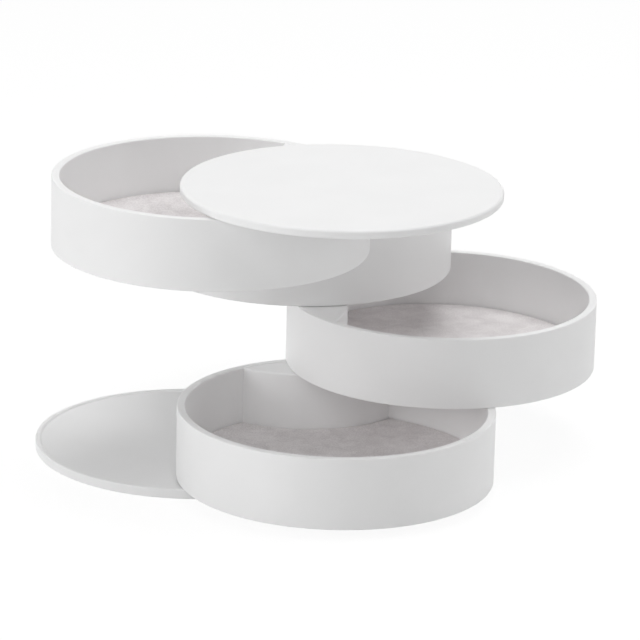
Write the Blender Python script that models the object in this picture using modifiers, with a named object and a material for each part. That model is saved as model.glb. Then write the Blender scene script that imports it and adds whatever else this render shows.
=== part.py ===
"""A rotating jewellery box: four round trays, a lid and a base that swing about one upright bolt.

Every level is a disc of the same size. The bolt stands near the discs' rims, inside a small housing
that each tray carries, so a level swings clear of its neighbours and shows the velour in its tray.
Run it with blender --background --python part.py, or from Blender's text editor. Metres, +Z up.
"""

import math

import bmesh
import bpy

MM = 0.001

# How finely curves are drawn
DISC_STEPS = 56
PIN_STEPS = 24
PEG_STEPS = 12
ARC_STEPS = 21
ROUND_STEPS = 2
ROUND_LIMIT_SHARE = 0.45
FOOT_LIMIT_SHARE = 0.9

# Gaps between neighbouring pieces, and how far a cutter runs past the face that it opens
RUNNING_GAP = 0.3 * MM
FIT_GAP = 0.3 * MM
CUT_OVERRUN = 1.0 * MM
WELD_DISTANCE = 0.001 * MM
SHARP_ANGLE = math.radians(35)

# The outline that all levels share
DISC_RADIUS = 52.5 * MM

# How far each level is swung about the bolt, in degrees; at zero its disc lies straight in front
LID_SWING = 8.8
TRAY_SWINGS = (-58.0, 189.8, 103.4, 9.0)
BASE_SWING = -80.1

# Trays
TRAY_HEIGHT = 23.8 * MM
TRAY_WALL = 2.7 * MM
TRAY_FLOOR = 2.0 * MM
RIM_ROUND = 0.4 * MM
RIM_INSIDE_ROUND = 1.1 * MM
FOOT_ROUND = 1.2 * MM

# Lid, with the thickness that is left over the hub's pocket
LID_SKIN = 1.3 * MM
LID_ROUND = 0.9 * MM

# Base plate, a shallow dish with a grip pad let into its underside, and its web over the bolt's head
BASE_WEB = 1.0 * MM
BASE_LIP = 1.4 * MM
BASE_LIP_ROUND = 0.5 * MM
BASE_ROUND = 0.9 * MM
DISH_DEPTH = 1.0 * MM
PAD_THICKNESS = 0.8 * MM
PAD_PROUD = 0.3 * MM
PAD_INSET = 2.5 * MM

# Velour liner on each tray's floor
LINER_THICKNESS = 2.5 * MM

# Pivot bolt, its nut and the springs and washers on it
BOLT_RADIUS = 3.0 * MM
THREAD_STEP = 0.5 * MM
HEAD_REACH = 2.0 * MM
HEAD_THICKNESS = 0.9 * MM
BOLT_PROUD = 0.5 * MM
NUT_WALL = 1.2 * MM
NUT_HEIGHT = 2.7 * MM
WASHER_WIDTH = 1.7 * MM
WASHER_THICKNESS = 1.0 * MM
SPRING_WIDTH = 1.4 * MM
SPRING_THICKNESS = 0.5 * MM
SPRING_RISE = 0.4 * MM
HEX_SIDES = 6

# Hub that hangs the lid on the bolt
HUB_WALL = 1.0 * MM
HUB_WEB = 1.2 * MM
NUT_ROOM = 0.4 * MM
FLANGE_WIDTH = 1.5 * MM
FLANGE_THICKNESS = 1.2 * MM

# Pivot housing in each tray: a curved wall, a boss round the bolt, two posts, a rib and a cap
BOSS_WALL = 2.7 * MM
WALL_ROOM = 1.0 * MM
FACE_ROOM = 0.9 * MM
HOUSING_WALL = 2.0 * MM
HOUSING_FACE_RADIUS = 39.0 * MM
HOUSING_DROP = 0.1 * MM
HOUSING_ROUND = 0.6 * MM
CAP_THICKNESS = 1.6 * MM
CAP_DROP = 0.1 * MM
POST_RADIUS = 2.2 * MM
POST_SPREAD = 15.0 * MM
PEG_RADIUS = 1.0 * MM
PEG_LENGTH = 3.0 * MM
RIB_THICKNESS = 1.6 * MM
RIB_STEP = 2.0 * MM

# Worked out: radii on the bolt
BORE_RADIUS = BOLT_RADIUS + RUNNING_GAP
THREAD_RADIUS = BOLT_RADIUS - THREAD_STEP
THREAD_BORE_RADIUS = THREAD_RADIUS + FIT_GAP
NUT_FLAT_RADIUS = THREAD_BORE_RADIUS + NUT_WALL
HEAD_FLAT_RADIUS = BOLT_RADIUS + HEAD_REACH
WASHER_RADIUS = BORE_RADIUS + WASHER_WIDTH
BOSS_RADIUS = BORE_RADIUS + BOSS_WALL
CHAMBER_RADIUS = NUT_FLAT_RADIUS / math.cos(math.pi / HEX_SIDES) + NUT_ROOM
HUB_RADIUS = CHAMBER_RADIUS + HUB_WALL
CORE_RADIUS = max(BOSS_RADIUS, HUB_RADIUS)
FLANGE_RADIUS = HUB_RADIUS + FLANGE_WIDTH

# Worked out: places in a tray, measured from its centre towards the bolt
TRAY_INSIDE_RADIUS = DISC_RADIUS - TRAY_WALL
PIVOT_OFFSET = TRAY_INSIDE_RADIUS - WALL_ROOM - CORE_RADIUS
HOUSING_FACE_OFFSET = PIVOT_OFFSET - CORE_RADIUS - FACE_ROOM - HOUSING_WALL
HOUSING_ARC_OFFSET = HOUSING_FACE_OFFSET + HOUSING_FACE_RADIUS
HOUSING_BACK_RADIUS = HOUSING_FACE_RADIUS - HOUSING_WALL

# Worked out: heights in a tray, above its underside
WASHER_SEAT_DEPTH = WASHER_THICKNESS + FIT_GAP
CAP_TOP = TRAY_HEIGHT - CAP_DROP
POST_TOP = CAP_TOP - CAP_THICKNESS - FIT_GAP

# Worked out: the stack inside the lid hub, from its underside up
SPRING_HEIGHT = SPRING_THICKNESS + SPRING_RISE
SPRING_BOTTOM = HUB_WEB + FIT_GAP
NUT_BOTTOM = SPRING_BOTTOM + SPRING_HEIGHT + FIT_GAP
BOLT_END = NUT_BOTTOM + NUT_HEIGHT + BOLT_PROUD
LID_POCKET_DEPTH = FLANGE_THICKNESS + FIT_GAP
LID_THICKNESS = LID_POCKET_DEPTH + LID_SKIN
HUB_HEIGHT = BOLT_END + RUNNING_GAP - FIT_GAP
HUB_DROP = HUB_HEIGHT - FLANGE_THICKNESS
SHORT_BOSS_TOP = TRAY_HEIGHT - HUB_DROP - WASHER_SEAT_DEPTH
RIB_TOP = SHORT_BOSS_TOP - RIB_STEP

# Worked out: heights in the base and of the levels, above the table
PAD_RECESS_TOP = PAD_THICKNESS + FIT_GAP
HEAD_RECESS_TOP = PAD_RECESS_TOP + HEAD_THICKNESS + FIT_GAP
BASE_TOP = HEAD_RECESS_TOP + BASE_WEB
DISH_FLOOR = BASE_TOP - DISH_DEPTH
LEVEL_PITCH = TRAY_HEIGHT + RUNNING_GAP
TRAY_COUNT = len(TRAY_SWINGS)
TRAY_BOTTOMS = tuple(BASE_TOP + RUNNING_GAP + LEVEL_PITCH * (TRAY_COUNT - 1 - index)
                     for index in range(TRAY_COUNT))
LID_BOTTOM = TRAY_BOTTOMS[0] + LEVEL_PITCH
HUB_BOTTOM = LID_BOTTOM - HUB_DROP

# Colour as sRGB hex, roughness and metallic value of each material
MATERIALS = {
    "white_abs": ("F4F3F1", 0.38, 0.0),
    "grey_velour": ("B9B2AE", 0.95, 0.0),
    "zinc_plated_steel": ("B8BAB8", 0.32, 1.0),
    "spring_steel": ("77787A", 0.35, 1.0),
    "white_acetal": ("E9E8E2", 0.45, 0.0),
    "grey_silicone": ("C9C8C6", 0.75, 0.0),
}


def clear_scene():
    """Remove whatever the scene holds."""
    for old in list(bpy.data.objects):
        bpy.data.objects.remove(old, do_unlink=True)


def new_collection(name):
    """Add an empty collection to the scene."""
    collection = bpy.data.collections.new(name)
    bpy.context.scene.collection.children.link(collection)
    return collection


def linear(channel):
    """Turn one sRGB channel, 0 to 1, to a linear value."""
    if channel <= 0.04045:
        return channel / 12.92
    return ((channel + 0.055) / 1.055) ** 2.4


def make_materials():
    """Make one Principled BSDF material for each entry of MATERIALS."""
    made = {}
    for name, (colour, roughness, metallic) in MATERIALS.items():
        material = bpy.data.materials.new(name)
        material.use_nodes = True
        shader = material.node_tree.nodes["Principled BSDF"]
        channels = [linear(int(colour[start:start + 2], 16) / 255) for start in (0, 2, 4)]
        shader.inputs["Base Color"].default_value = (*channels, 1.0)
        shader.inputs["Roughness"].default_value = roughness
        shader.inputs["Metallic"].default_value = metallic
        made[name] = material
    return made


def quarter(centre_out, centre_up, radius, start, stop):
    """Points of a rounded edge: an arc about a centre, between two angles in degrees."""
    points = []
    for step in range(ROUND_STEPS + 1):
        angle = math.radians(start + (stop - start) * step / ROUND_STEPS)
        points.append((centre_out + radius * math.cos(angle), centre_up + radius * math.sin(angle)))
    return points


def turned(name, collection, profile, steps=DISC_STEPS, closed=False):
    """Turn a profile of (radius, height) points about Z with a Screw modifier."""
    shape = bpy.data.meshes.new(name)
    form = bmesh.new()
    corners = [form.verts.new((out, 0, up)) for out, up in profile]
    for first, second in zip(corners, corners[1:]):
        form.edges.new((first, second))
    if closed:
        form.edges.new((corners[-1], corners[0]))
    form.to_mesh(shape)
    form.free()
    piece = bpy.data.objects.new(name, shape)
    collection.objects.link(piece)
    screw = piece.modifiers.new("turn", "SCREW")
    screw.steps = steps
    screw.render_steps = steps
    screw.use_merge_vertices = True
    screw.merge_threshold = WELD_DISTANCE
    return piece


def cylinder(name, collection, radius, bottom, top, spot=(0, 0), sides=PIN_STEPS):
    """Add an upright cylinder, or a hexagonal prism, between two heights."""
    shape = bpy.data.meshes.new(name)
    form = bmesh.new()
    bmesh.ops.create_cone(form, cap_ends=True, segments=sides, radius1=radius, radius2=radius,
                          depth=top - bottom)
    form.to_mesh(shape)
    form.free()
    piece = bpy.data.objects.new(name, shape)
    piece.location = (*spot, (bottom + top) / 2)
    piece.rotation_euler = (0, 0, math.pi / sides)
    collection.objects.link(piece)
    return piece


def block(name, collection, size, centre):
    """Add a box of a size about a centre."""
    shape = bpy.data.meshes.new(name)
    form = bmesh.new()
    bmesh.ops.create_cube(form, size=1)
    bmesh.ops.scale(form, vec=size, verts=form.verts)
    form.to_mesh(shape)
    form.free()
    piece = bpy.data.objects.new(name, shape)
    piece.location = centre
    collection.objects.link(piece)
    return piece


def frozen_mesh(piece, name):
    """Return the piece's evaluated mesh, moved to its place and welded, and remove the piece."""
    bpy.context.view_layer.update()
    graph = bpy.context.evaluated_depsgraph_get()
    mesh = bpy.data.meshes.new_from_object(piece.evaluated_get(graph))
    mesh.name = name
    mesh.transform(piece.matrix_world)
    form = bmesh.new()
    form.from_mesh(mesh)
    bmesh.ops.remove_doubles(form, verts=form.verts, dist=WELD_DISTANCE)
    form.to_mesh(mesh)
    form.free()
    mesh.shade_smooth()
    mesh.set_sharp_from_angle(angle=SHARP_ANGLE)
    bpy.data.objects.remove(piece, do_unlink=True)
    return mesh


def slab(name, collection, outlines, bottom, top):
    """Extrude flat closed outlines between two heights; an outline inside another is a hole."""
    flat = bpy.data.curves.new(name, "CURVE")
    flat.dimensions = "2D"
    flat.fill_mode = "BOTH"
    flat.extrude = (top - bottom) / 2
    for outline in outlines:
        spline = flat.splines.new("POLY")
        spline.points.add(len(outline) - 1)
        spline.use_cyclic_u = True
        for point, (across, along) in zip(spline.points, outline):
            point.co = (across, along, 0, 1)
    guide = bpy.data.objects.new(name, flat)
    collection.objects.link(guide)
    piece = bpy.data.objects.new(name, frozen_mesh(guide, name))
    piece.location = (0, 0, (bottom + top) / 2)
    collection.objects.link(piece)
    return piece


def circle(radius, spot, steps=PIN_STEPS):
    """Points of a circle about a spot."""
    turns = [math.tau * step / steps for step in range(steps)]
    return [(spot[0] + radius * math.cos(turn), spot[1] + radius * math.sin(turn)) for turn in turns]


def housing_arc(arc_radius, tray_radius):
    """Points of an arc about the housing's centre, left to right, between two points of a tray circle."""
    reach = HOUSING_ARC_OFFSET ** 2 + arc_radius ** 2 - tray_radius ** 2
    half = math.acos(reach / (2 * HOUSING_ARC_OFFSET * arc_radius))
    turns = [-half + 2 * half * step / ARC_STEPS for step in range(ARC_STEPS + 1)]
    return [(arc_radius * math.sin(turn), HOUSING_ARC_OFFSET - arc_radius * math.cos(turn))
            for turn in turns]


def tray_arc(tray_radius, start, stop, steps):
    """Points of a tray circle between two points on it, without its ends, anticlockwise."""
    first = math.atan2(start[1], start[0])
    last = math.atan2(stop[1], stop[0])
    if last <= first:
        last += math.tau
    turns = [first + (last - first) * step / steps for step in range(1, steps)]
    return [(tray_radius * math.cos(turn), tray_radius * math.sin(turn)) for turn in turns]


def add_boolean(piece, other, operation):
    """Join another object to a piece, or cut it away, and keep the other as a guide."""
    step = piece.modifiers.new(other.name, "BOOLEAN")
    step.operation = operation
    step.object = other
    step.solver = "EXACT"
    other.hide_render = True
    other.display_type = "WIRE"


def disc_profile(radius, bottom, top, lower_round, upper_round):
    """Profile of a plain disc with rounded edges."""
    lower = min(lower_round, (top - bottom) * ROUND_LIMIT_SHARE)
    upper = min(upper_round, (top - bottom) * ROUND_LIMIT_SHARE)
    return ([(0, top)]
            + quarter(radius - upper, top - upper, upper, 90, 0)
            + quarter(radius - lower, bottom + lower, lower, 0, -90)
            + [(0, bottom)])


def tray_profile():
    """Profile of the tray's round cup: floor, inner wall, rim, outer wall and underside."""
    rim = min(RIM_ROUND, TRAY_WALL * ROUND_LIMIT_SHARE)
    foot = min(FOOT_ROUND, TRAY_WALL * FOOT_LIMIT_SHARE, TRAY_FLOOR * FOOT_LIMIT_SHARE)
    return ([(0, TRAY_FLOOR), (TRAY_INSIDE_RADIUS, TRAY_FLOOR), (TRAY_INSIDE_RADIUS, TRAY_HEIGHT)]
            + quarter(DISC_RADIUS - rim, TRAY_HEIGHT - rim, rim, 90, 0)
            + quarter(DISC_RADIUS - foot, foot, foot, 0, -90)
            + [(0, 0)])


def base_profile():
    """Profile of the base plate: shallow dish, narrow lip and the pad's recess underneath."""
    inside = DISC_RADIUS - BASE_LIP
    lip = min(BASE_LIP_ROUND, BASE_LIP * ROUND_LIMIT_SHARE)
    foot = min(BASE_ROUND, (BASE_TOP - PAD_PROUD) * ROUND_LIMIT_SHARE)
    pad_radius = DISC_RADIUS - PAD_INSET
    return ([(0, DISH_FLOOR)]
            + quarter(inside - DISH_DEPTH, BASE_TOP, DISH_DEPTH, -90, -30)
            + quarter(inside + lip, BASE_TOP - lip, lip, 150, 90)
            + quarter(DISC_RADIUS - lip, BASE_TOP - lip, lip, 90, 0)
            + quarter(DISC_RADIUS - foot, PAD_PROUD + foot, foot, 0, -90)
            + [(pad_radius, PAD_PROUD), (pad_radius, PAD_RECESS_TOP), (0, PAD_RECESS_TOP)])


def post_places():
    """Where the two cap posts stand: midway between the housing's wall and the tray's wall."""
    near = HOUSING_ARC_OFFSET - math.sqrt(HOUSING_BACK_RADIUS ** 2 - POST_SPREAD ** 2)
    far = math.sqrt(TRAY_INSIDE_RADIUS ** 2 - POST_SPREAD ** 2)
    return [(side * POST_SPREAD, (near + far) / 2) for side in (-1, 1)]


def housing_wall(cutters):
    """The housing's curved wall, with its ends and foot sunk into the tray and its front edge rounded."""
    root = TRAY_INSIDE_RADIUS + TRAY_WALL / 2
    outline = housing_arc(HOUSING_FACE_RADIUS, root) + housing_arc(HOUSING_BACK_RADIUS, root)[::-1]
    wall = slab("housing_wall", cutters, [outline], TRAY_FLOOR / 2, TRAY_HEIGHT - HOUSING_DROP)
    form = bmesh.new()
    form.from_mesh(wall.data)
    weight = form.edges.layers.float.new("bevel_weight_edge")
    for edge in form.edges:
        in_front = all(corner.co.z > 0 and math.hypot(corner.co.x, corner.co.y - HOUSING_ARC_OFFSET)
                       > HOUSING_FACE_RADIUS - HOUSING_WALL / 2 for corner in edge.verts)
        edge[weight] = float(in_front and edge.calc_face_angle() > SHARP_ANGLE)
    form.to_mesh(wall.data)
    form.free()
    rounding = wall.modifiers.new("rounded_front", "BEVEL")
    rounding.width = min(HOUSING_ROUND, HOUSING_WALL * ROUND_LIMIT_SHARE)
    rounding.segments = 2
    rounding.limit_method = "WEIGHT"
    rounding.use_clamp_overlap = False
    return wall


def rim_rounding(cutters):
    """What rounds the rim's inner edge off, all but behind the housing's wall, where the cap lies flush."""
    radius = min(RIM_INSIDE_ROUND, TRAY_WALL * ROUND_LIMIT_SHARE)
    edge = quarter(TRAY_INSIDE_RADIUS + radius, TRAY_HEIGHT - radius, radius, 90, 180)
    edge[0] = [2 * end - inner for end, inner in zip(edge[0], edge[1])]
    edge[-1] = [2 * end - inner for end, inner in zip(edge[-1], edge[-2])]
    top = TRAY_HEIGHT + CUT_OVERRUN
    away = TRAY_INSIDE_RADIUS - CUT_OVERRUN
    ring = turned("rim_rounding", cutters, [(away, top), (edge[0][0], top), *edge, (away, edge[-1][1])],
                  closed=True)
    housing = cylinder("unrounded", cutters, HOUSING_FACE_RADIUS - HOUSING_WALL / 2,
                       TRAY_HEIGHT / 2, TRAY_HEIGHT + 2 * CUT_OVERRUN, (0, HOUSING_ARC_OFFSET), DISC_STEPS)
    add_boolean(ring, housing, "DIFFERENCE")
    return ring


def tray_mesh(name, boss_top, parts, cutters):
    """Model one tray: the cup, the housing's wall, boss, posts and rib, then its bores."""
    cup = turned(name, parts, tray_profile())
    root = TRAY_FLOOR / 2
    pivot = (0, PIVOT_OFFSET)
    posts = post_places()
    rib_size = (2 * POST_SPREAD, RIB_THICKNESS, RIB_TOP - root)
    joined = [housing_wall(cutters),
              cylinder("boss", cutters, BOSS_RADIUS, root, boss_top, pivot),
              block("rib", cutters, rib_size, (0, posts[0][1], (RIB_TOP + root) / 2))]
    cut = [cylinder("bore", cutters, BORE_RADIUS, -CUT_OVERRUN, TRAY_HEIGHT + CUT_OVERRUN, pivot),
           cylinder("washer_seat", cutters, WASHER_RADIUS + FIT_GAP, -CUT_OVERRUN, WASHER_SEAT_DEPTH, pivot)]
    for spot in posts:
        joined.append(cylinder("post", cutters, POST_RADIUS, root, POST_TOP, spot, PEG_STEPS))
        cut.append(cylinder("peg_hole", cutters, PEG_RADIUS + FIT_GAP, POST_TOP - PEG_LENGTH,
                            POST_TOP + CUT_OVERRUN, spot, PEG_STEPS))
    add_boolean(cup, rim_rounding(cutters), "DIFFERENCE")
    for other in joined:
        add_boolean(cup, other, "UNION")
    for other in cut:
        add_boolean(cup, other, "DIFFERENCE")
    return frozen_mesh(cup, name)


def cap_mesh(parts, cutters):
    """Model the cap that closes a housing: a lens-shaped plate with two pegs and a hole for the boss."""
    wall_radius = TRAY_INSIDE_RADIUS - FIT_GAP
    face = housing_arc(HOUSING_BACK_RADIUS - FIT_GAP, wall_radius)
    outline = face + tray_arc(wall_radius, face[-1], face[0], ARC_STEPS)
    hole = circle(CORE_RADIUS + RUNNING_GAP, (0, PIVOT_OFFSET))
    cap = slab("pivot_cap", parts, [outline, hole], CAP_TOP - CAP_THICKNESS, CAP_TOP)
    peg_bottom = POST_TOP - PEG_LENGTH + FIT_GAP
    for spot in post_places():
        peg = cylinder("peg", cutters, PEG_RADIUS, peg_bottom, CAP_TOP - CAP_THICKNESS / 2, spot, PEG_STEPS)
        add_boolean(cap, peg, "UNION")
    return frozen_mesh(cap, "pivot_cap")


def liner_mesh(parts):
    """Model the velour liner: a flat board that fills the tray's floor up to the housing."""
    wall_radius = TRAY_INSIDE_RADIUS - FIT_GAP
    face = housing_arc(HOUSING_FACE_RADIUS + FIT_GAP, wall_radius)
    outline = face[::-1] + tray_arc(wall_radius, face[0], face[-1], DISC_STEPS)
    bottom = TRAY_FLOOR + FIT_GAP
    liner = slab("velour_liner", parts, [outline], bottom, bottom + LINER_THICKNESS)
    return frozen_mesh(liner, "velour_liner")


def ring_mesh(name, parts, profile):
    """Turn a small closed profile, such as a washer's, and return its mesh."""
    return frozen_mesh(turned(name, parts, profile, PIN_STEPS, closed=True), name)


def add_piece(name, mesh, level, height, material, parts, offset=PIVOT_OFFSET):
    """Add a finished piece to its level, its disc's centre standing off the bolt."""
    piece = bpy.data.objects.new(name, mesh)
    parts.objects.link(piece)
    piece.parent = level
    piece.location = (0, -offset, height)
    mesh.materials.clear()
    mesh.materials.append(material)
    return piece


def add_levels(axis):
    """Add an empty on the bolt's axis for each level, swung to its place."""
    swings = {"base": BASE_SWING, "lid": LID_SWING}
    swings.update({f"tray_{index + 1}": swing for index, swing in enumerate(TRAY_SWINGS)})
    levels = {}
    for name, swing in swings.items():
        level = bpy.data.objects.new(f"{name}_swing", None)
        level.empty_display_size = BOSS_RADIUS
        level.rotation_euler = (0, 0, math.radians(swing))
        level.parent = axis
        bpy.context.scene.collection.objects.link(level)
        levels[name] = level
    return levels


def build_base(level, parts, cutters, materials):
    """The base plate, which holds the bolt's head, and the grip pad that hides it."""
    pivot = (0, PIVOT_OFFSET)
    corner = (HEAD_FLAT_RADIUS + FIT_GAP) / math.cos(math.pi / HEX_SIDES)
    plate = turned("base_plate", parts, base_profile())
    boss_root = (PAD_RECESS_TOP + DISH_FLOOR) / 2
    add_boolean(plate, cylinder("base_boss", cutters, BOSS_RADIUS, boss_root, BASE_TOP, pivot), "UNION")
    add_boolean(plate, cylinder("base_bore", cutters, BORE_RADIUS, 0, BASE_TOP + CUT_OVERRUN, pivot),
                "DIFFERENCE")
    add_boolean(plate, cylinder("head_recess", cutters, corner, 0, HEAD_RECESS_TOP, pivot, HEX_SIDES),
                "DIFFERENCE")
    add_piece("base_plate", frozen_mesh(plate, "base_plate"), level, 0, materials["white_abs"], parts)
    pad_radius = DISC_RADIUS - PAD_INSET - FIT_GAP
    pad = turned("base_grip_pad", parts,
                 [(0, PAD_THICKNESS), (pad_radius, PAD_THICKNESS), (pad_radius, 0), (0, 0)])
    pad = frozen_mesh(pad, "base_grip_pad")
    add_piece("base_grip_pad", pad, level, 0, materials["grey_silicone"], parts)


def build_bolt(level, parts, cutters, materials):
    """The pivot bolt, from its thin hexagon head in the base to the nut on its thread in the lid hub."""
    hex_share = 1 / math.cos(math.pi / HEX_SIDES)
    head_top = PAD_RECESS_TOP + HEAD_THICKNESS
    shoulder = HUB_BOTTOM + NUT_BOTTOM - FIT_GAP
    end = HUB_BOTTOM + BOLT_END
    profile = [(0, end), (THREAD_RADIUS, end), (THREAD_RADIUS, shoulder), (BOLT_RADIUS, shoulder),
               (BOLT_RADIUS, head_top - HEAD_THICKNESS / 2), (0, head_top - HEAD_THICKNESS / 2)]
    bolt = turned("pivot_bolt", parts, profile, PIN_STEPS)
    head = cylinder("bolt_head", cutters, HEAD_FLAT_RADIUS * hex_share, PAD_RECESS_TOP, head_top,
                    sides=HEX_SIDES)
    add_boolean(bolt, head, "UNION")
    steel = materials["zinc_plated_steel"]
    add_piece("pivot_bolt", frozen_mesh(bolt, "pivot_bolt"), level, 0, steel, parts, 0)
    outside = BORE_RADIUS + SPRING_WIDTH
    spring = ring_mesh("hub_disc_spring", parts,
                       [(BORE_RADIUS, SPRING_HEIGHT), (outside, SPRING_THICKNESS), (outside, 0),
                        (BORE_RADIUS, SPRING_RISE)])
    spring_height = HUB_BOTTOM + SPRING_BOTTOM
    add_piece("hub_disc_spring", spring, level, spring_height, materials["spring_steel"], parts, 0)
    nut = cylinder("hub_lock_nut", parts, NUT_FLAT_RADIUS * hex_share, 0, NUT_HEIGHT, sides=HEX_SIDES)
    nut_bore = cylinder("nut_bore", cutters, THREAD_BORE_RADIUS, -CUT_OVERRUN, NUT_HEIGHT + CUT_OVERRUN)
    add_boolean(nut, nut_bore, "DIFFERENCE")
    nut_height = HUB_BOTTOM + NUT_BOTTOM
    add_piece("hub_lock_nut", frozen_mesh(nut, "hub_lock_nut"), level, nut_height, steel, parts, 0)


def build_trays(levels, parts, cutters, materials):
    """Four trays, each with its velour liner, its pivot cap and the friction washer under it."""
    short = tray_mesh("top_tray", SHORT_BOSS_TOP, parts, cutters)
    full = tray_mesh("tray", TRAY_HEIGHT, parts, cutters)
    cap = cap_mesh(parts, cutters)
    liner = liner_mesh(parts)
    washer = ring_mesh("friction_washer", parts,
                       [(BORE_RADIUS, WASHER_THICKNESS), (WASHER_RADIUS, WASHER_THICKNESS),
                        (WASHER_RADIUS, 0), (BORE_RADIUS, 0)])
    for index, bottom in enumerate(TRAY_BOTTOMS):
        number = index + 1
        level = levels[f"tray_{number}"]
        add_piece(f"tray_{number}", full if index else short, level, bottom, materials["white_abs"], parts)
        add_piece(f"velour_liner_{number}", liner, level, bottom, materials["grey_velour"], parts)
        add_piece(f"pivot_cap_{number}", cap, level, bottom, materials["white_abs"], parts)
        add_piece(f"friction_washer_{number}", washer, level, bottom, materials["white_acetal"], parts, 0)
    add_piece("hub_washer", washer, levels["lid"], HUB_BOTTOM - WASHER_SEAT_DEPTH, materials["white_acetal"],
              parts, 0)


def build_lid(level, parts, cutters, materials):
    """The flat lid, and the hub that is fixed in its underside and hangs it on the bolt."""
    lid = turned("lid", parts, disc_profile(DISC_RADIUS, 0, LID_THICKNESS, LID_ROUND, LID_ROUND))
    pocket = cylinder("hub_pocket", cutters, FLANGE_RADIUS + FIT_GAP, -CUT_OVERRUN, LID_POCKET_DEPTH,
                      (0, PIVOT_OFFSET))
    add_boolean(lid, pocket, "DIFFERENCE")
    add_piece("lid", frozen_mesh(lid, "lid"), level, LID_BOTTOM, materials["white_abs"], parts)
    hub = ring_mesh("lid_hub", parts,
                    [(CHAMBER_RADIUS, HUB_HEIGHT), (FLANGE_RADIUS, HUB_HEIGHT), (FLANGE_RADIUS, HUB_DROP),
                     (HUB_RADIUS, HUB_DROP), (HUB_RADIUS, 0), (BORE_RADIUS, 0), (BORE_RADIUS, HUB_WEB),
                     (CHAMBER_RADIUS, HUB_WEB)])
    add_piece("lid_hub", hub, level, HUB_BOTTOM, materials["white_abs"], parts, 0)


def main():
    """Build the jewellery box from its base up."""
    clear_scene()
    parts = new_collection("rotating_jewellery_box")
    cutters = new_collection("cutters")
    materials = make_materials()
    axis = bpy.data.objects.new("pivot_axis", None)
    bpy.context.scene.collection.objects.link(axis)
    levels = add_levels(axis)
    build_base(levels["base"], parts, cutters, materials)
    build_bolt(levels["base"], parts, cutters, materials)
    build_trays(levels, parts, cutters, materials)
    build_lid(levels["lid"], parts, cutters, materials)
    bpy.context.view_layer.update()


main()
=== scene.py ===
"""Looks of the rotating jewellery box: four round trays, a lid and a base about one bolt.

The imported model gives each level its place. The classes below model every piece that shows,
dress it and set it on its level. The bolt and what sits on it stay as packed and get their
finishes. Metres, +Z up, with the bolt's axis through the origin.
"""

import logging
import math
from collections.abc import Callable, Iterator
from contextlib import contextmanager
from dataclasses import dataclass
from enum import Enum
from typing import Any

import bmesh
import bpy
from mathutils import Matrix, Vector


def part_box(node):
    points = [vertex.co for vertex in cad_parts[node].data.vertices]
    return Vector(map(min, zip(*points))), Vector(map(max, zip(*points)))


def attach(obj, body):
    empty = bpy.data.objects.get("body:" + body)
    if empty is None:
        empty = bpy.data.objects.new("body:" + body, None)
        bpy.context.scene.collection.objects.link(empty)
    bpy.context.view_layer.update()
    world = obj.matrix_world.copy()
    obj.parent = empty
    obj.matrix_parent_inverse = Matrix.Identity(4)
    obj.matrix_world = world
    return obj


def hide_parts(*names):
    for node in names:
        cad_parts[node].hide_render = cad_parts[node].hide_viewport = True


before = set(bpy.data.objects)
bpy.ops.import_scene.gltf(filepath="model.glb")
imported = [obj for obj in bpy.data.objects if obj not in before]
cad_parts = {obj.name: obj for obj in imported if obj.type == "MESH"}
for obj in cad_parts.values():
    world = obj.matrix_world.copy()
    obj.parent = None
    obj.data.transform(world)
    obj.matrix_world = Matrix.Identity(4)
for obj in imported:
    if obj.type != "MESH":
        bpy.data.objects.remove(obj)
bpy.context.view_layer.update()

LOG = logging.getLogger("jewellery_box")

MM = 0.001
# Sides of the large discs, of bosses, holes and pegs, and of the bolt's head.
DISC_SIDES = 224
PIN_SIDES = 48
HEX_SIDES = 6
# Facets of a small, a usual and a broad rounding, and the profile of a quarter circle.
FEW_FACETS, FACETS, MANY_FACETS = 3, 4, 6
QUARTER_CIRCLE = 0.5
# How near counts as the same place, and how far a cutter stands past what it cuts.
CLOSE = 0.02 * MM
OVERRUN = 1.0 * MM
# Edges sharper than this stay sharp.
SMOOTH_ANGLE = math.radians(32)
# The middle of a noise's range, over which two colours mix and the roughness wanders.
COLOUR_BAND = (0.34, 0.66)
ROUGHNESS_BAND = (0.3, 0.7)

Test = Callable[[Vector], bool]
Spot = tuple[float, float, float]


class Pick(Enum):
    """What a selection is made of, as edit mode names it."""

    FACES = "FACE"
    EDGES = "EDGE"
    CORNERS = "VERT"


class Join(Enum):
    """How one solid meets another, as the Boolean modifier names it."""

    WITH = "UNION"
    WITHOUT = "DIFFERENCE"
    WITHIN = "INTERSECT"


# Finishes


def linear(code: str) -> tuple[float, float, float, float]:
    """Turn an sRGB hex colour to linear values.

    Args:
        code: Six hex digits.

    Returns:
        Linear red, green and blue, with an alpha of one.
    """
    channels = [int(code[start:start + 2], 16) / 255 for start in (0, 2, 4)]
    red, green, blue = (c / 12.92 if c <= 0.04045 else ((c + 0.055) / 1.055) ** 2.4
                        for c in channels)
    return red, green, blue, 1.0


def add_node(tree: bpy.types.NodeTree, kind: str, values: dict[Any, Any] | None = None,
             links: dict[Any, bpy.types.NodeSocket] | None = None,
             **settings: Any) -> bpy.types.Node:
    """Add a node with its settings, plain values and incoming links.

    Args:
        tree: The material's or world's node tree.
        kind: The node's type name.
        values: Plain values by input socket.
        links: Sockets that feed the node, by input socket.
        **settings: The node's own settings.

    Returns:
        The new node.
    """
    node = tree.nodes.new(kind)
    for name, setting in settings.items():
        setattr(node, name, setting)
    for name, value in (values or {}).items():
        node.inputs[name].default_value = value
    for name, source in (links or {}).items():
        tree.links.new(source, node.inputs[name])
    return node


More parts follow.
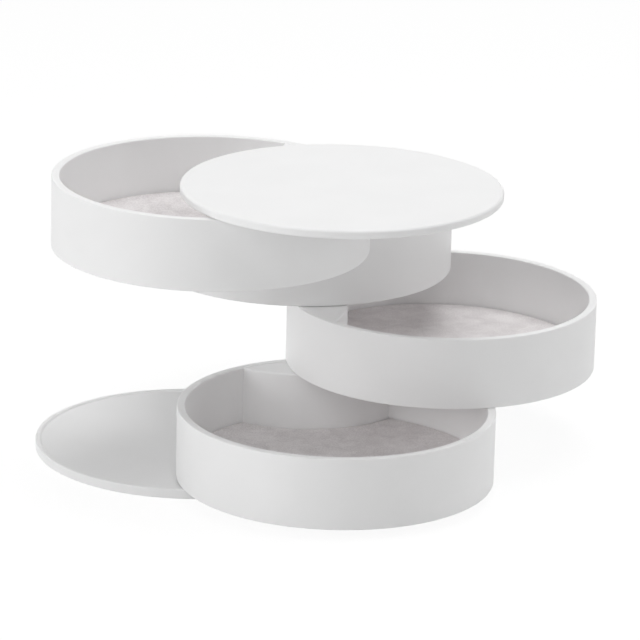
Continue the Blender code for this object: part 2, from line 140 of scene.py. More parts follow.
@dataclass(frozen=True)
class Finish:
    """What every finish has: two close colours, a wandering roughness and a fine grain.

    Sizes are those of the real surface in millimetres, or the smallest that still shows in the
    picture. The grain's strength is the share of its depth that shows.
    """

    name: str
    colour: str
    shade: str
    roughness: float
    roughness_spread: float
    patch_mm: float
    grain_mm: float
    grain_depth_mm: float
    ior: float = 1.5
    metallic: float = 0.0
    grain_strength: float = 0.5

    def noise(self, tree: bpy.types.NodeTree, place: bpy.types.NodeSocket, size_mm: float,
              detail: float = 2.0, distortion: float = 0.0) -> bpy.types.NodeSocket:
        """Add a noise pattern of a real size.

        Args:
            tree: The material's node tree.
            place: Coordinates in metres.
            size_mm: Size of the pattern's patches.
            detail: How many finer layers it has.
            distortion: How far its patches are drawn out.

        Returns:
            The pattern's factor.
        """
        values = {"Scale": 1 / (size_mm * MM), "Detail": detail, "Distortion": distortion}
        return add_node(tree, "ShaderNodeTexNoise", values, {"Vector": place}).outputs["Fac"]

    def blend_colours(self, tree: bpy.types.NodeTree,
                      factor: bpy.types.NodeSocket) -> bpy.types.NodeSocket:
        """Mix the finish's two colours over the middle of a pattern's range.

        Args:
            tree: The material's node tree.
            factor: The pattern.

        Returns:
            The mixed colour.
        """
        ramp = add_node(tree, "ShaderNodeValToRGB", links={"Fac": factor})
        low, high = ramp.color_ramp.elements
        low.position, high.position = COLOUR_BAND
        low.color, high.color = linear(self.shade), linear(self.colour)
        return ramp.outputs["Color"]

    def spread_roughness(self, tree: bpy.types.NodeTree, shader: bpy.types.Node,
                         factor: bpy.types.NodeSocket) -> None:
        """Let the roughness wander about its middle value with a pattern.

        Args:
            tree: The material's node tree.
            shader: The Principled shader.
            factor: The pattern.
        """
        low, high = ROUGHNESS_BAND
        values = {"From Min": low, "From Max": high,
                  "To Min": self.roughness - self.roughness_spread,
                  "To Max": self.roughness + self.roughness_spread}
        spread = add_node(tree, "ShaderNodeMapRange", values, {"Value": factor})
        tree.links.new(spread.outputs["Result"], shader.inputs["Roughness"])

    def emboss(self, tree: bpy.types.NodeTree, shader: bpy.types.Node,
               height: bpy.types.NodeSocket) -> None:
        """Raise the surface's grain by its real depth.

        Args:
            tree: The material's node tree.
            shader: The Principled shader.
            height: The pattern of heights.
        """
        values = {"Strength": self.grain_strength, "Distance": self.grain_depth_mm * MM}
        bump = add_node(tree, "ShaderNodeBump", values, {"Height": height})
        tree.links.new(bump.outputs["Normal"], shader.inputs["Normal"])

    def dress(self, tree: bpy.types.NodeTree, shader: bpy.types.Node,
              place: bpy.types.NodeSocket) -> None:
        """Build the finish's own patterns; a plain one has clouds of colour and a fine grain.

        Args:
            tree: The material's node tree.
            shader: The Principled shader.
            place: Object coordinates in metres.
        """
        clouds = self.noise(tree, place, self.patch_mm)
        grain = self.noise(tree, place, self.grain_mm, detail=1.0)
        tree.links.new(self.blend_colours(tree, clouds), shader.inputs["Base Color"])
        self.spread_roughness(tree, shader, clouds)
        self.emboss(tree, shader, grain)

    def build(self) -> bpy.types.Material:
        """Make the node material.

        Returns:
            The material.
        """
        material = bpy.data.materials.new(self.name)
        material.use_nodes = True
        tree = material.node_tree
        shader = tree.nodes["Principled BSDF"]
        shader.inputs["IOR"].default_value = self.ior
        shader.inputs["Metallic"].default_value = self.metallic
        self.dress(tree, shader, add_node(tree, "ShaderNodeTexCoord").outputs["Object"])
        return material


@dataclass(frozen=True)
class Velour(Finish):
    """Short cut pile on a foam board: brushed patches, a speckle of fibre tips and a soft sheen."""

    grain_strength: float = 0.8
    brush_detail: float = 3.0
    brush_distortion: float = 0.8
    brush_share: float = 0.4
    tip_share: float = 0.6
    sheen: float = 0.5
    sheen_roughness: float = 0.4
    sheen_tint: str = "F4F1EF"

    def dress(self, tree: bpy.types.NodeTree, shader: bpy.types.Node,
              place: bpy.types.NodeSocket) -> None:
        """Mix brushed patches with the speckle of the pile.

        Args:
            tree: The material's node tree.
            shader: The Principled shader.
            place: Object coordinates in metres.
        """
        brushed = self.noise(tree, place, self.patch_mm, self.brush_detail, self.brush_distortion)
        speckle = self.noise(tree, place, self.grain_mm)
        pile = add_node(tree, "ShaderNodeMath", {0: self.brush_share}, {1: brushed},
                        operation="MULTIPLY")
        tips = add_node(tree, "ShaderNodeMath", {1: self.tip_share},
                        {0: speckle, 2: pile.outputs[0]}, operation="MULTIPLY_ADD")
        tree.links.new(self.blend_colours(tree, tips.outputs[0]), shader.inputs["Base Color"])
        self.spread_roughness(tree, shader, brushed)
        self.emboss(tree, shader, tips.outputs[0])
        shader.inputs["Sheen Weight"].default_value = self.sheen
        shader.inputs["Sheen Roughness"].default_value = self.sheen_roughness
        shader.inputs["Sheen Tint"].default_value = linear(self.sheen_tint)


@dataclass(frozen=True)
class TurnedSteel(Finish):
    """Steel turned or pressed round an upright axis: fine rings stacked along the height."""

    grain_strength: float = 0.4
    ring_squeeze: float = 0.05

    def dress(self, tree: bpy.types.NodeTree, shader: bpy.types.Node,
              place: bpy.types.NodeSocket) -> None:
        """Draw tool rings by squeezing a noise along the height.

        Args:
            tree: The material's node tree.
            shader: The Principled shader.
            place: Object coordinates in metres.
        """
        scale = (self.ring_squeeze, self.ring_squeeze, 1.0)
        squeeze = add_node(tree, "ShaderNodeMapping", {"Scale": scale}, {"Vector": place})
        rings = self.noise(tree, squeeze.outputs["Vector"], self.grain_mm, detail=1.0)
        clouds = self.noise(tree, place, self.patch_mm)
        tree.links.new(self.blend_colours(tree, clouds), shader.inputs["Base Color"])
        self.spread_roughness(tree, shader, rings)
        self.emboss(tree, shader, rings)


# Satin white ABS from a finely spark-eroded mould: bright and even, with a soft broad gloss. The
# real grain is about 0.05 mm and is drawn five times as coarse so that it shows.
WHITE_ABS = Finish("moulded_white_abs", colour="F7F7F7", shade="F5F5F5", roughness=0.42,
                   roughness_spread=0.03, patch_mm=22.0, grain_mm=0.25, grain_depth_mm=0.006,
                   ior=1.54)
# Warm grey cut velour: matt, a little mottled where the pile is brushed, paler at grazing angles.
# Pile tips are about 0.15 mm apart and are drawn as tufts of 0.5 mm.
GREY_VELOUR = Velour("cut_grey_velour", colour="F1EEEE", shade="D1CCCD", roughness=0.94,
                     roughness_spread=0.04, patch_mm=6.0, grain_mm=0.5, grain_depth_mm=0.12,
                     ior=1.46)
# Zinc-plated steel: bright grey with a faint haze over the tool rings.
ZINC_STEEL = TurnedSteel("turned_zinc_plated_steel", colour="C6C8C8", shade="AFB2B3", roughness=0.3,
                         roughness_spread=0.06, patch_mm=3.0, grain_mm=0.12, grain_depth_mm=0.01,
                         metallic=1.0)
# Hardened spring steel: darker, with the brown-grey of tempering.
SPRING_STEEL = TurnedSteel("tempered_spring_steel", colour="7F7C79", shade="6B6968", roughness=0.35,
                           roughness_spread=0.05, patch_mm=2.0, grain_mm=0.15, grain_depth_mm=0.01,
                           metallic=1.0)
# Natural acetal: ivory white and slightly waxy.
WHITE_ACETAL = Finish("turned_white_acetal", colour="ECEBE4", shade="E6E4DC", roughness=0.4,
                      roughness_spread=0.04, patch_mm=5.0, grain_mm=0.2, grain_depth_mm=0.01,
                      ior=1.48)
# Silicone sheet: pale grey, dull, with a fine cloth print from its press.
GREY_SILICONE = Finish("pressed_grey_silicone", colour="CDCCCA", shade="C4C3C1", roughness=0.72,
                       roughness_spread=0.05, patch_mm=9.0, grain_mm=0.35, grain_depth_mm=0.03,
                       ior=1.41)


class Finishes:
    """The box's materials, each made when it is first asked for."""

    def __init__(self) -> None:
        """Start with none made."""
        self.made: dict[str, bpy.types.Material] = {}

    def material(self, finish: Finish) -> bpy.types.Material:
        """Give a finish's material.

        Args:
            finish: The finish.

        Returns:
            The one material made for it.
        """
        if finish.name not in self.made:
            self.made[finish.name] = finish.build()
        return self.made[finish.name]

    def coat(self, piece: bpy.types.Object, finish: Finish) -> None:
        """Give a new piece its only material.

        Args:
            piece: The piece.
            finish: Its finish.
        """
        piece.data.materials.clear()
        piece.data.materials.append(self.material(finish))

    def dress_packed(self, node: str, finish: Finish) -> None:
        """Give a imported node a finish, in each of its material slots.

        Args:
            node: The node's name.
            finish: Its finish.
        """
        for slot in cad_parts[node].material_slots:
            slot.material = self.material(finish)
        LOG.info("%s keeps its packed shape, in %s", node, finish.name)


# Modelling, as by hand


def make_active(piece: bpy.types.Object) -> None:
    """Select one piece alone and make it the active one.

    Args:
        piece: The piece.
    """
    bpy.ops.object.select_all(action="DESELECT")
    piece.select_set(True)
    bpy.context.view_layer.objects.active = piece


def primitive(name: str, add: Callable[..., Any], **options: Any) -> bpy.types.Object:
    """Add a primitive by itself, with its place in its mesh.

    Args:
        name: The new piece's name.
        add: The operator that adds it.
        **options: The operator's options.

    Returns:
        The new piece, active and at the origin.
    """
    bpy.ops.object.select_all(action="DESELECT")
    add(**options)
    piece = bpy.context.active_object
    piece.name = piece.data.name = name
    bpy.ops.object.transform_apply(location=True, rotation=True, scale=True)
    return piece


def cylinder(name: str, radius: float, bottom: float, top: float,
             spot: tuple[float, float] = (0.0, 0.0), sides: int = PIN_SIDES,
             ends: str = "NGON") -> bpy.types.Object:
    """Add an upright cylinder or prism between two heights, its sides half a step round.

    Args:
        name: The new piece's name.
        radius: Distance of its corners from its axis.
        bottom: Height of its lower end.
        top: Height of its upper end.
        spot: Where its axis stands.
        sides: How many sides it has.
        ends: How its ends are closed.

    Returns:
        The cylinder.
    """
    return primitive(name, bpy.ops.mesh.primitive_cylinder_add, vertices=sides, radius=radius,
                     depth=top - bottom, end_fill_type=ends, location=(*spot, (bottom + top) / 2),
                     rotation=(0.0, 0.0, math.pi / sides))


@contextmanager
def edit_mode(piece: bpy.types.Object) -> Iterator[None]:
    """Open a piece in edit mode and close it at the end.

    Args:
        piece: The piece.

    Yields:
        Nothing, while the piece is open.
    """
    make_active(piece)
    bpy.ops.object.mode_set(mode="EDIT")
    yield
    bpy.ops.object.mode_set(mode="OBJECT")


def pick(piece: bpy.types.Object, what: Pick, test: Test) -> int:
    """Select the faces, edges or corners whose corners all pass a test, and nothing else.

    Args:
        piece: The piece, open in edit mode.
        what: What is selected.
        test: Says of a place whether it counts.

    Returns:
        How many were selected.
    """
    bpy.ops.mesh.select_mode(type=what.value)
    bpy.ops.mesh.select_all(action="DESELECT")
    form = bmesh.from_edit_mesh(piece.data)
    passed = {corner for corner in form.verts if test(corner.co)}
    if what is Pick.CORNERS:
        chosen = list(passed)
    else:
        chosen = [part for part in (form.faces if what is Pick.FACES else form.edges)
                  if all(corner in passed for corner in part.verts)]
    for part in chosen:
        part.select_set(True)
    form.select_flush_mode()
    bmesh.update_edit_mesh(piece.data)
    return len(chosen)


def at_height(height: float) -> Test:
    """A test of whether a place is at a height.

    Args:
        height: The height.

    Returns:
        The test.
    """
    return lambda place: abs(place.z - height) < CLOSE


def on_ring(radius: float, height: float) -> Test:
    """A test of whether a place is on a level circle about the piece's axis.

    Args:
        radius: The circle's radius.
        height: Its height.

    Returns:
        The test.
    """
    return lambda place: (abs(math.hypot(place.x, place.y) - radius) < CLOSE
                          and abs(place.z - height) < CLOSE)


def round_picked(size: float, facets: int = FACETS) -> None:
    """Round the selected edges of the piece that is open in edit mode.

    Args:
        size: Radius of the rounding.
        facets: How many facets it has.
    """
    bpy.ops.mesh.bevel(offset=size, offset_type="OFFSET", segments=facets,
                       profile=QUARTER_CIRCLE, affect="EDGES")


def round_rings(piece: bpy.types.Object, radius: float, heights: tuple[float, ...], size: float,
                facets: int = FACETS) -> None:
    """Round sharp circles of a turned piece one by one, so that no edge between them is rounded.

    Args:
        piece: The piece, open in edit mode.
        radius: Radius of the circles.
        heights: Their heights.
        size: Radius of the rounding.
        facets: How many facets it has.
    """
    for height in heights:
        pick(piece, Pick.EDGES, on_ring(radius, height))
        round_picked(size, facets)


def sink(piece: bpy.types.Object, face_height: float, inset: float, depth: float) -> None:
    """Sink an end face of a turned piece, leaving a wall round it.

    Args:
        piece: The piece, open in edit mode.
        face_height: Height of the end face.
        inset: Thickness of the wall that stays.
        depth: How far the face moves along Z.
    """
    pick(piece, Pick.FACES, at_height(face_height))
    bpy.ops.mesh.inset(thickness=inset, depth=0.0)
    bpy.ops.mesh.extrude_region_move(TRANSFORM_OT_translate={"value": (0.0, 0.0, depth)})


def apply_modifiers(piece: bpy.types.Object) -> None:
    """Apply all of a piece's modifiers in order.

    Args:
        piece: The piece.
    """
    make_active(piece)
    for modifier in list(piece.modifiers):
        bpy.ops.object.modifier_apply(modifier=modifier.name)


def combine(piece: bpy.types.Object, other: bpy.types.Object, how: Join) -> None:
    """Join, cut or limit a piece by another one, which is used up.

    Args:
        piece: The piece that stays.
        other: The piece that is used up.
        how: How they meet.
    """
    boolean = piece.modifiers.new(how.name.lower(), "BOOLEAN")
    boolean.operation, boolean.solver, boolean.object = how.value, "EXACT", other
    apply_modifiers(piece)
    bpy.data.objects.remove(other, do_unlink=True)


def smooth(piece: bpy.types.Object) -> None:
    """Shade the roundings smooth and keep the flats flat.

    Args:
        piece: The piece.
    """
    make_active(piece)
    bpy.ops.object.shade_smooth_by_angle(angle=SMOOTH_ANGLE)
    weighted = piece.modifiers.new("flat_faces_lead", "WEIGHTED_NORMAL")
    weighted.keep_sharp = True
    apply_modifiers(piece)


# Levels


@dataclass(frozen=True)
class Level:
    """One storey of the box, which turns as one: its body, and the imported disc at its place."""

    body: str
    disc: str

    @property
    def centre(self) -> Vector:
        """Centre of the disc's underside."""
        low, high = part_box(self.disc)
        return Vector(((low.x + high.x) / 2, (low.y + high.y) / 2, low.z))

    @property
    def reach(self) -> float:
        """Distance from the bolt's axis to the disc's centre."""
        return self.centre.xy.length

    @property
    def swing(self) -> float:
        """Angle of the disc about the bolt; at zero it lies straight in front."""
        return math.atan2(self.centre.x, -self.centre.y)

    def seat(self, piece: bpy.types.Object, node: str, slot: str) -> None:
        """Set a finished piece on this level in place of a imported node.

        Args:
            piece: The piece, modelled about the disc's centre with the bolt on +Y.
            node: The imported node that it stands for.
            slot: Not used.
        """
        piece.matrix_world = Matrix.Translation(self.centre) @ Matrix.Rotation(self.swing, 4, "Z")
        make_active(piece)
        bpy.ops.object.transform_apply(location=True, rotation=True, scale=True)
        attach(piece, self.body)
        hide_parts(node)
        LOG.info("%s stands for %s on %s: %d faces", piece.name, node, self.body,
                 len(piece.data.polygons))


def copy_of(piece: bpy.types.Object, name: str) -> bpy.types.Object:
    """Copy a piece with its own mesh.

    Args:
        piece: The piece.
        name: The copy's name.

    Returns:
        The copy.
    """
    double = piece.copy()
    double.data = piece.data.copy()
    double.name = double.data.name = name
    bpy.context.collection.objects.link(double)
    return double


TRAY_LEVELS = tuple(Level(f"tray_{number}_level", f"tray_{number}") for number in (1, 2, 3, 4))
LID_LEVEL = Level("lid_level", "lid")
BASE_LEVEL = Level("root", "base_plate")


@dataclass
class Trays:
    """The four trays, each a shell with a pivot housing, the housing's cap and a velour liner.

    A tray's whole underside stands foot_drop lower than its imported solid's, in the running gap.
    """

    finishes: Finishes
    pivot: float = LID_LEVEL.reach
    radius: float = 52.5 * MM
    height: float = 23.8 * MM
    wall: float = 2.7 * MM
    floor: float = 2.0 * MM
    rim_round: float = 0.4 * MM
    rim_inside_round: float = 0.5 * MM
    foot_drop: float = 0.2 * MM
    foot_round: float = 0.4 * MM
    floor_round: float = 0.5 * MM
    housing_radius: float = 39.0 * MM
    housing_face: float = 33.86 * MM
    housing_wall: float = 2.0 * MM
    housing_drop: float = 0.1 * MM
    housing_round: float = 0.6 * MM
    bore_radius: float = 3.3 * MM
    boss_radius: float = 6.0 * MM
    short_boss_top: float = 17.8 * MM
    seat_radius: float = 5.3 * MM
    seat_depth: float = 1.3 * MM
    post_radius: float = 2.2 * MM
    post_top: float = 21.8 * MM
    post_spread: float = 15.0 * MM
    peg_radius: float = 1.0 * MM
    peg_length: float = 3.0 * MM
    rib_thickness: float = 1.6 * MM
    rib_top: float = 15.8 * MM
    cap_top: float = 23.7 * MM
    cap_thickness: float = 1.6 * MM
    cap_hole_radius: float = 6.32 * MM
    cap_sharp: float = math.radians(60)
    cap_round: float = 0.04 * MM
    cap_gap: float = 0.04 * MM
    liner_bottom: float = 2.3 * MM
    liner_thickness: float = 2.5 * MM
    liner_round: float = 0.9 * MM
    pile_step: float = 2.5 * MM
    pile_relief: float = 0.16 * MM
    gap: float = 0.3 * MM

    @property
    def inside(self) -> float:
        """Radius of the space inside the wall."""
        return self.radius - self.wall

    @property
    def arc_centre(self) -> tuple[float, float]:
        """Where the housing wall's curve is centred."""
        return 0.0, self.housing_face + self.housing_radius

    @property
    def posts(self) -> tuple[tuple[float, float], ...]:
        """Where the cap's two posts stand, midway between the housing's wall and the tray's."""
        across = self.post_spread
        hollow = self.housing_radius - self.housing_wall
        near = self.arc_centre[1] - math.sqrt(hollow ** 2 - across ** 2)
        place = (near + math.sqrt(self.inside ** 2 - across ** 2)) / 2
        return (-across, place), (across, place)

    def from_arc(self, place: Vector) -> float:
        """Distance of a place from the axis of the housing wall's curve.

        Args:
            place: The place.

        Returns:
            The distance, seen from above.
        """
        across, along = self.arc_centre
        return math.hypot(place.x - across, place.y - along)

    def cup(self) -> bpy.types.Object:
        """Model the round cup: a disc, sunk to leave the wall, with rounded rim, foot and floor.

        The rim's inner edge stays square behind the housing's face, where the cap lies flush
        with it.

        Returns:
            The cup.
        """
        foot = -self.foot_drop
        cup = cylinder("tray_shell", self.radius, foot, self.height, sides=DISC_SIDES)
        inner_edge = on_ring(self.inside, self.height)
        middle = self.housing_radius - self.housing_wall / 2
        with edit_mode(cup):
            sink(cup, self.height, self.wall, self.floor - self.height)
            round_rings(cup, self.radius, (self.height,), self.rim_round)
            pick(cup, Pick.EDGES,
                 lambda place: inner_edge(place) and self.from_arc(place) > middle)
            round_picked(self.rim_inside_round, MANY_FACETS)
            round_rings(cup, self.radius, (foot,), self.foot_round)
            round_rings(cup, self.inside, (self.floor,), self.floor_round, FEW_FACETS)
        return cup

    def housing(self) -> bpy.types.Object:
        """Model the housing's curved wall from a tube with a rounded front edge.

        Its ends are cut off inside the tray's wall.

        Returns:
            The wall.
        """
        top = self.height - self.housing_drop
        wall = cylinder("housing_wall", self.housing_radius, self.floor / 2, top, self.arc_centre,
                        sides=DISC_SIDES, ends="NOTHING")
        tube = wall.modifiers.new("wall", "SOLIDIFY")
        tube.thickness, tube.offset, tube.use_even_offset = self.housing_wall, -1.0, True
        apply_modifiers(wall)
        at_top = at_height(top)
        with edit_mode(wall):
            pick(wall, Pick.EDGES, lambda place: at_top(place) and
                 abs(self.from_arc(place) - self.housing_radius) < CLOSE)
            round_picked(self.housing_round)
        limit = cylinder("limit", self.radius - self.wall / 2, 0.0, self.height, sides=DISC_SIDES)
        combine(wall, limit, Join.WITHIN)
        return wall

    def shell(self, boss_top: float) -> bpy.types.Object:
        """Model a tray's shell: cup, housing wall, boss, rib and posts, then the holes.

        Args:
            boss_top: How high the boss round the bolt stands.

        Returns:
            The shell.
        """
        shell = self.cup()
        root = self.floor / 2
        bolt = (0.0, self.pivot)
        combine(shell, self.housing(), Join.WITH)
        combine(shell, cylinder("boss", self.boss_radius, root, boss_top, bolt), Join.WITH)
        rib = primitive("rib", bpy.ops.mesh.primitive_cube_add, size=1.0,
                        location=(0.0, self.posts[0][1], (root + self.rib_top) / 2),
                        scale=(2 * self.post_spread, self.rib_thickness, self.rib_top - root))
        combine(shell, rib, Join.WITH)
        for spot in self.posts:
            post = cylinder("post", self.post_radius, root, self.post_top, spot)
            combine(shell, post, Join.WITH)
        bore = cylinder("bore", self.bore_radius, -OVERRUN, self.height + OVERRUN, bolt)
        combine(shell, bore, Join.WITHOUT)
        seat = cylinder("washer_seat", self.seat_radius, -OVERRUN, self.seat_depth, bolt)
        combine(shell, seat, Join.WITHOUT)
        for spot in self.posts:
            hole = cylinder("peg_hole", self.peg_radius + self.gap, self.post_top - self.peg_length,
                            self.post_top + OVERRUN, spot)
            combine(shell, hole, Join.WITHOUT)
        smooth(shell)
        return shell

    def cap(self) -> bpy.types.Object:
        """Model the lens-shaped cap that closes a housing, with its hole and two pegs.

        Returns:
            The cap.
        """
        bottom = self.cap_top - self.cap_thickness
        cap = cylinder("cap", self.inside - self.cap_gap, bottom, self.cap_top, sides=DISC_SIDES)
        face = cylinder("face", self.housing_radius - self.housing_wall - self.cap_gap, 0.0,
                        self.height, self.arc_centre, sides=DISC_SIDES)
        combine(cap, face, Join.WITHIN)
        hole = cylinder("hole", self.cap_hole_radius, 0.0, self.height, (0.0, self.pivot))
        combine(cap, hole, Join.WITHOUT)
        edge = cap.modifiers.new("edge", "BEVEL")
        edge.limit_method, edge.angle_limit = "ANGLE", self.cap_sharp
        edge.width, edge.segments = self.cap_round, 2
        apply_modifiers(cap)
        for spot in self.posts:
            peg = cylinder("peg", self.peg_radius, self.post_top - self.peg_length + self.gap,
                           bottom + self.cap_thickness / 2, spot)
            combine(cap, peg, Join.WITH)
        smooth(cap)
        return cap

    def liner(self) -> bpy.types.Object:
        """Model the velour liner: a board cut to the floor, with rolled edges and a brushed nap.

        Returns:
            The liner.
        """
        top = self.liner_bottom + self.liner_thickness
        liner = cylinder("liner", self.inside - self.gap, self.liner_bottom, top, sides=DISC_SIDES)
        cut = cylinder("cut", self.housing_radius + self.gap, 0.0, self.height, self.arc_centre,
                       sides=DISC_SIDES)
        combine(liner, cut, Join.WITHOUT)
        with edit_mode(liner):
            pick(liner, Pick.EDGES, at_height(top))
            round_picked(self.liner_round, FEW_FACETS)
            steps = math.ceil(self.radius / self.pile_step)
            for normal in ((1.0, 0.0, 0.0), (0.0, 1.0, 0.0)):
                for step in range(-steps, steps + 1):
                    bpy.ops.mesh.select_all(action="SELECT")
                    bpy.ops.mesh.bisect(plane_co=Vector(normal) * step * self.pile_step,
                                        plane_no=normal)
            pick(liner, Pick.FACES, at_height(top))
            bpy.ops.mesh.subdivide(number_cuts=1)
        nap = liner.vertex_groups.new(name="nap")
        at_top = at_height(top)
        nap.add([corner.index for corner in liner.data.vertices if at_top(corner.co)], 1.0,
                "REPLACE")
        clouds = bpy.data.textures.new("brushed_nap", "CLOUDS")
        clouds.noise_scale = 2 * self.pile_step
        relief = liner.modifiers.new("nap", "DISPLACE")
        relief.texture, relief.texture_coords, relief.direction = clouds, "LOCAL", "Z"
        relief.vertex_group, relief.strength, relief.mid_level = "nap", self.pile_relief, 0.5
        apply_modifiers(liner)
        make_active(liner)
        bpy.ops.object.shade_smooth_by_angle(angle=SMOOTH_ANGLE)
        return liner

    def build(self) -> None:
        """Model the pieces once and set a copy of each on every tray's level."""
        short, full = self.shell(self.short_boss_top), self.shell(self.height)
        cap, liner = self.cap(), self.liner()
        for moulded in (short, full, cap):
            self.finishes.coat(moulded, WHITE_ABS)
        self.finishes.coat(liner, GREY_VELOUR)
        for number, level in enumerate(TRAY_LEVELS, start=1):
            shell = copy_of(short if number == 1 else full, f"tray_shell_{number}")
            level.seat(shell, f"tray_{number}", "white_abs")
            level.seat(copy_of(cap, f"housing_cap_{number}"), f"pivot_cap_{number}", "white_abs")
            pad = copy_of(liner, f"velour_pad_{number}")
            level.seat(pad, f"velour_liner_{number}", "grey_velour")
            self.finishes.dress_packed(f"friction_washer_{number}", WHITE_ACETAL)
        for model in (short, full, cap, liner):
            bpy.data.objects.remove(model, do_unlink=True)


@dataclass
class Lid:
    """The flat lid; its hub and the washer below it stay as packed."""

    finishes: Finishes
    radius: float = 52.5 * MM
    thickness: float = 2.8 * MM
    edge_round: float = 0.9 * MM
    pocket_radius: float = 7.82 * MM
    pocket_depth: float = 1.5 * MM

    def build(self) -> None:
        """Model the lid from a disc, sunk underneath for the hub's flange."""
        lid = cylinder("lid_disc", self.radius, 0.0, self.thickness, sides=DISC_SIDES)
        with edit_mode(lid):
            round_rings(lid, self.radius, (0.0, self.thickness), self.edge_round, MANY_FACETS)
        pocket = cylinder("pocket", self.pocket_radius, -OVERRUN, self.pocket_depth,
                          (0.0, LID_LEVEL.reach))
        combine(lid, pocket, Join.WITHOUT)
        smooth(lid)
        self.finishes.coat(lid, WHITE_ABS)
        LID_LEVEL.seat(lid, "lid", "white_abs")
        self.finishes.dress_packed("lid_hub", WHITE_ABS)
        self.finishes.dress_packed("hub_washer", WHITE_ACETAL)


@dataclass
class Base:
    """The base: a shallow dish, the grip pad under it, and the bolt with its nut and spring.

    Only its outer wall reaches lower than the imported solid's, by the skirt.
    """

    finishes: Finishes
    radius: float = 52.5 * MM
    height: float = 3.0 * MM
    lip: float = 1.4 * MM
    lip_round: float = 0.4 * MM
    foot_round: float = 0.4 * MM
    skirt: float = 0.25 * MM
    dish_depth: float = 1.0 * MM
    dish_step: float = 0.45 * MM
    dish_slope: float = 0.6 * MM
    dish_floor: float = 20.0 * MM
    dish_steps: int = 8
    pad_inset: float = 2.5 * MM
    pad_recess: float = 0.8 * MM
    pad_radius: float = 49.7 * MM
    pad_thickness: float = 0.8 * MM
    pad_proud: float = 0.3 * MM
    pad_round: float = 0.25 * MM
    boss_radius: float = 6.0 * MM
    bore_radius: float = 3.3 * MM
    head_flat_radius: float = 5.3 * MM
    head_recess: float = 2.0 * MM

    def hollow_dish(self, plate: bpy.types.Object) -> None:
        """Hollow the plate's top inside its lip: a soft step, then a bowl down to a flat floor.

        Args:
            plate: The plate, open in edit mode.
        """
        pick(plate, Pick.FACES, at_height(self.height))
        bpy.ops.mesh.inset(thickness=self.lip, depth=0.0)
        bpy.ops.mesh.inset(thickness=self.dish_slope, depth=-self.dish_step)
        width = (self.radius - self.lip - self.dish_slope - self.dish_floor) / self.dish_steps
        bowl = self.dish_depth - self.dish_step
        for step in range(self.dish_steps):
            above, below = (((self.dish_steps - edge) / self.dish_steps) ** 2
                            for edge in (step, step + 1))
            bpy.ops.mesh.inset(thickness=width, depth=-bowl * (above - below))

    def plate(self) -> bpy.types.Object:
        """Model the base plate: a bowl on top, sunk underneath for the pad, bored for the bolt.

        Returns:
            The plate.
        """
        plate = cylinder("base_dish", self.radius, -self.skirt, self.height, sides=DISC_SIDES)
        with edit_mode(plate):
            self.hollow_dish(plate)
            sink(plate, -self.skirt, self.pad_inset, self.skirt + self.pad_recess)
            round_rings(plate, self.radius, (self.height,), self.lip_round)
            round_rings(plate, self.radius, (-self.skirt,), self.foot_round)
        bolt = (0.0, BASE_LEVEL.reach)
        root = (self.pad_recess + self.height - self.dish_depth) / 2
        combine(plate, cylinder("boss", self.boss_radius, root, self.height, bolt), Join.WITH)
        bore = cylinder("bore", self.bore_radius, 0.0, self.height + OVERRUN, bolt)
        combine(plate, bore, Join.WITHOUT)
        corner = self.head_flat_radius / math.cos(math.pi / HEX_SIDES)
        head = cylinder("head", corner, 0.0, self.head_recess, bolt, sides=HEX_SIDES)
        combine(plate, head, Join.WITHOUT)
        smooth(plate)
        return plate

    def pad(self) -> bpy.types.Object:
        """Model the grip pad, a thin round sheet with softened edges.

        Returns:
            The pad.
        """
        bottom = -self.pad_proud
        top = bottom + self.pad_thickness
        pad = cylinder("grip_pad", self.pad_radius, bottom, top, sides=DISC_SIDES)
        with edit_mode(pad):
            round_rings(pad, self.pad_radius, (bottom, top), self.pad_round, FEW_FACETS)
        smooth(pad)
        return pad

    def build(self) -> None:
        """Model and set the base's pieces, and dress the bolt, nut and spring."""
        plate, pad = self.plate(), self.pad()
        self.finishes.coat(plate, WHITE_ABS)
        self.finishes.coat(pad, GREY_SILICONE)
        BASE_LEVEL.seat(plate, "base_plate", "white_abs")
        BASE_LEVEL.seat(pad, "base_grip_pad", "grey_silicone")
        self.finishes.dress_packed("pivot_bolt", ZINC_STEEL)
        self.finishes.dress_packed("hub_lock_nut", ZINC_STEEL)
        self.finishes.dress_packed("hub_disc_spring", SPRING_STEEL)


# Studio


@dataclass(frozen=True)
class Softbox:
    """A square or round lamp that is aimed at the box."""

    name: str
    place: Spot
    size: float
    power: float
    shape: str = "SQUARE"
    aim: Spot = (0.0, 0.0, 0.05)

    def build(self) -> None:
        """Set the lamp up; neither the camera nor the satin plastic's gloss shows it."""
        lamp = bpy.data.lights.new(self.name, "AREA")
        lamp.energy, lamp.shape, lamp.size = self.power, self.shape, self.size
        stand = bpy.data.objects.new(self.name, lamp)
        bpy.context.scene.collection.objects.link(stand)
        facing = (Vector(self.place) - Vector(self.aim)).to_track_quat("Z", "Y")
        stand.matrix_world = Matrix.Translation(self.place) @ facing.to_matrix().to_4x4()
        stand.visible_camera = stand.visible_glossy = False


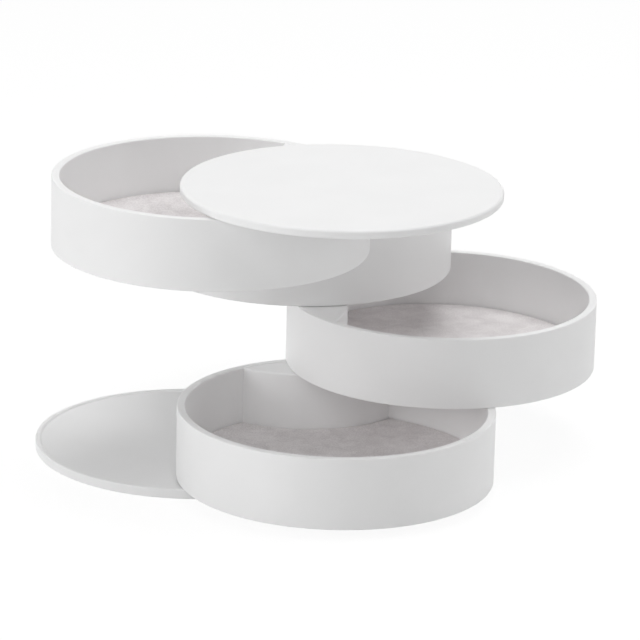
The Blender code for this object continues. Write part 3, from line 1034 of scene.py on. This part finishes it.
@dataclass
class Studio:
    """A plain white studio: floor, world, softboxes and the camera."""

    ambient: float = 0.05
    diffuse_bounces: int = 12
    floor_size: float = 6.0
    floor_drop: float = 0.05 * MM
    floor_colour: str = "F2F2F2"
    floor_shadow_share: float = 0.14
    floor_glow: float = 0.9
    room_colour: str = "FFFFFF"
    room_glow: float = 1.0
    lens: float = 236.25
    sensor: float = 36.0
    pitch: float = 17.398
    roll: float = 1.4765
    camera_place: Spot = (0.00051, -1.35199, 0.46749)
    softboxes: tuple[Softbox, ...] = (
        Softbox("ceiling", (0.0, 0.0, 1.3), 1.2, 6.8),
        Softbox("key_right", (0.45, 0.0, 1.4), 0.6, 2.1),
        Softbox("key_back", (0.05, 0.4, 1.4), 0.6, 3.7),
        Softbox("left_low", (-1.2, -0.5, 0.25), 0.8, 6.7),
        Softbox("left_front", (-1.1, -0.9, 0.7), 0.8, 2.8),
        Softbox("front", (0.0, -1.6, 0.9), 0.8, 3.7),
        Softbox("right", (1.3, 0.0, 0.6), 0.8, 4.7),
    )

    def seen_white(self, tree: bpy.types.NodeTree) -> bpy.types.NodeSocket:
        """Add a factor that is one for rays from the camera and for those that mirror or pass.

        Args:
            tree: The node tree.

        Returns:
            The factor.
        """
        ray = add_node(tree, "ShaderNodeLightPath").outputs
        seen = add_node(tree, "ShaderNodeMath",
                        links={0: ray["Is Camera Ray"], 1: ray["Is Glossy Ray"]},
                        operation="MAXIMUM")
        links = {0: seen.outputs[0], 1: ray["Is Transmission Ray"]}
        return add_node(tree, "ShaderNodeMath", links=links, operation="MAXIMUM").outputs[0]

    def floor(self) -> None:
        """Lay the floor: plain white, seen bright with the box's soft shadow on it."""
        floor = primitive("floor", bpy.ops.mesh.primitive_plane_add, size=self.floor_size,
                          location=(0.0, 0.0, -self.floor_drop))
        material = bpy.data.materials.new("painted_white_floor")
        material.use_nodes = True
        tree = material.node_tree
        tree.nodes.clear()
        plain = add_node(tree, "ShaderNodeBsdfDiffuse", {"Color": linear(self.floor_colour)})
        shadow = add_node(tree, "ShaderNodeBsdfDiffuse",
                          {"Color": (*[self.floor_shadow_share] * 3, 1.0)})
        glow = add_node(tree, "ShaderNodeEmission", {"Strength": self.floor_glow})
        bright = add_node(tree, "ShaderNodeAddShader",
                          links={0: shadow.outputs[0], 1: glow.outputs[0]})
        seen = add_node(tree, "ShaderNodeMixShader",
                        links={0: self.seen_white(tree), 1: plain.outputs[0], 2: bright.outputs[0]})
        add_node(tree, "ShaderNodeOutputMaterial", links={"Surface": seen.outputs[0]})
        floor.data.materials.append(material)

    def world(self) -> None:
        """Fill the room with even light, and show it white."""
        world = bpy.data.worlds.new("white_room")
        world.use_nodes = True
        tree = world.node_tree
        tree.nodes.clear()
        room = add_node(tree, "ShaderNodeBackground", {"Strength": self.ambient})
        white = add_node(tree, "ShaderNodeBackground", {"Strength": self.room_glow})
        for light in (room, white):
            light.inputs["Color"].default_value = linear(self.room_colour)
        seen = add_node(tree, "ShaderNodeMixShader",
                        links={0: self.seen_white(tree), 1: room.outputs[0], 2: white.outputs[0]})
        add_node(tree, "ShaderNodeOutputWorld", links={"Surface": seen.outputs[0]})
        bpy.context.scene.world = world

    def camera(self) -> None:
        """Set the camera up at the photograph's viewpoint."""
        eye = bpy.data.cameras.new("photo_camera")
        eye.lens, eye.sensor_width = self.lens, self.sensor
        stand = bpy.data.objects.new("photo_camera", eye)
        bpy.context.scene.collection.objects.link(stand)
        stand.matrix_world = (Matrix.Translation(self.camera_place)
                              @ Matrix.Rotation(math.radians(90 - self.pitch), 4, "X")
                              @ Matrix.Rotation(math.radians(self.roll), 4, "Z"))
        bpy.context.scene.camera = stand

    def build(self) -> None:
        """Set up the whole studio; light is passed on often enough to fill the pale trays."""
        self.floor()
        self.world()
        for softbox in self.softboxes:
            softbox.build()
        self.camera()
        bpy.context.scene.view_settings.view_transform = "Standard"
        bpy.context.scene.cycles.diffuse_bounces = self.diffuse_bounces
        LOG.info("studio: %d softboxes, camera at %s", len(self.softboxes), self.camera_place)


def main() -> None:
    """Build the box's levels from the base up, then the studio round them."""
    logging.basicConfig(level=logging.INFO, format="%(name)s: %(message)s")
    finishes = Finishes()
    Base(finishes).build()
    Trays(finishes).build()
    Lid(finishes).build()
    Studio().build()


if __name__ == "__main__":
    main()
